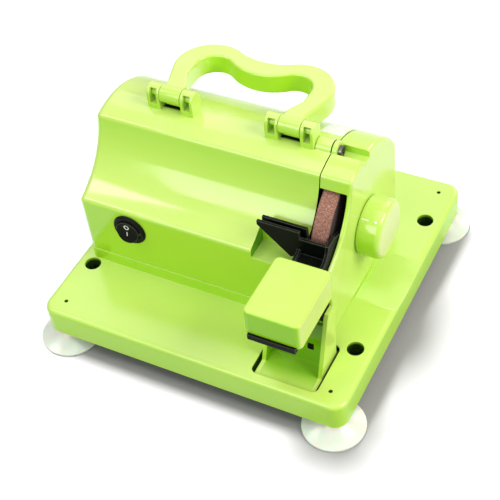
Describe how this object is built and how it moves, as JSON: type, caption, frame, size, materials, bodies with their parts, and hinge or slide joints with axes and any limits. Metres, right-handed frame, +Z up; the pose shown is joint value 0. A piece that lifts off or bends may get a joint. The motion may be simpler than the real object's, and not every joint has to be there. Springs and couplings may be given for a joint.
{
  "type": "electric knife sharpener",
  "caption": "Desktop electric knife sharpener: motor housing on a flat base with suction cups, covered grinding wheel, pivoting blade guide, tilting rest and folding carry handle.",
  "frame": {"origin": "on the bench under the centre of the base, at the rims of the suction cups", "axes": "+X to the right along the spindle towards the angle knob, +Y to the back, +Z up"},
  "size_m": [0.23, 0.223, 0.1457],
  "materials": {
    "lime_plastic": "glossy moulded plastic",
    "black_plastic": "satin moulded plastic",
    "steel": "bright",
    "clear_rubber": "milky, smooth",
    "cradle_metal": "cast",
    "motor_paint": "satin paint",
    "laminations": "stacked sheet",
    "abrasive": "matt, grainy",
    "brass_tabs": "bright",
    "lead_sheath": "smooth",
    "white_plastic": "satin"
  },
  "bodies": {
    "frame": {"base_shell": "lime_plastic", "bottom_plate": "lime_plastic", "bottom_screws": "steel", "suction_cups": "clear_rubber", "motor_housing": "lime_plastic", "housing_screws": "steel", "wheel_cover": "lime_plastic", "cover_foot_screws": "steel", "cover_screw": "steel", "motor_cradle": "cradle_metal", "cradle_screws": "steel", "motor_straps": "steel", "strap_screws": "steel", "motor_can": "motor_paint", "front_end_cap": "steel", "rear_end_cap": "steel", "front_bearing": "steel", "rear_bearing": "steel", "stator_core": "laminations", "rest_bracket": "lime_plastic", "bracket_screws": "steel", "rest_pin": "steel", "switch_body": "black_plastic", "switch_terminals": "brass_tabs", "switch_leads": "lead_sheath", "terminal_block": "white_plastic", "motor_leads": "lead_sheath", "cord_bushing": "black_plastic"},
    "spindle": {"rotor_core": "laminations", "rotor_shaft": "steel", "cooling_fan": "black_plastic", "inner_flange": "steel", "grinding_wheel": "abrasive", "wheel_bush": "black_plastic", "outer_flange": "steel", "wheel_nut": "steel"},
    "handle": {"carry_handle": "lime_plastic"},
    "guide": {"blade_guide": "black_plastic", "angle_knob": "lime_plastic", "knob_washer": "steel"},
    "rest": {"rest_core": "black_plastic", "rest_cap": "lime_plastic"},
    "rocker": {"rocker_button": "black_plastic"}
  },
  "joints": [
    {"name": "handle_fold", "type": "hinge", "parent": "frame", "child": "handle", "pos_m": [0, 0.0075, 0.14], "axis": [1, 0, 0], "range_deg": [0, 100]},
    {"name": "spindle_spin", "type": "hinge", "parent": "frame", "child": "spindle", "pos_m": [0, 0.006, 0.076], "axis": [1, 0, 0], "continuous": true},
    {"name": "guide_angle", "type": "hinge", "parent": "frame", "child": "guide", "pos_m": [0, 0.006, 0.076], "axis": [-1, 0, 0], "range_deg": [0, 20]},
    {"name": "rest_tilt", "type": "hinge", "parent": "frame", "child": "rest", "pos_m": [0.0645, -0.0645, 0.0685], "axis": [1, 0, 0], "range_deg": [0, 45]},
    {"name": "rocker_press", "type": "hinge", "parent": "frame", "child": "rocker", "pos_m": [-0.0623, -0.0499, 0.0705], "axis": [1, 0, 0], "range_deg": [0, 16]}
  ]
}
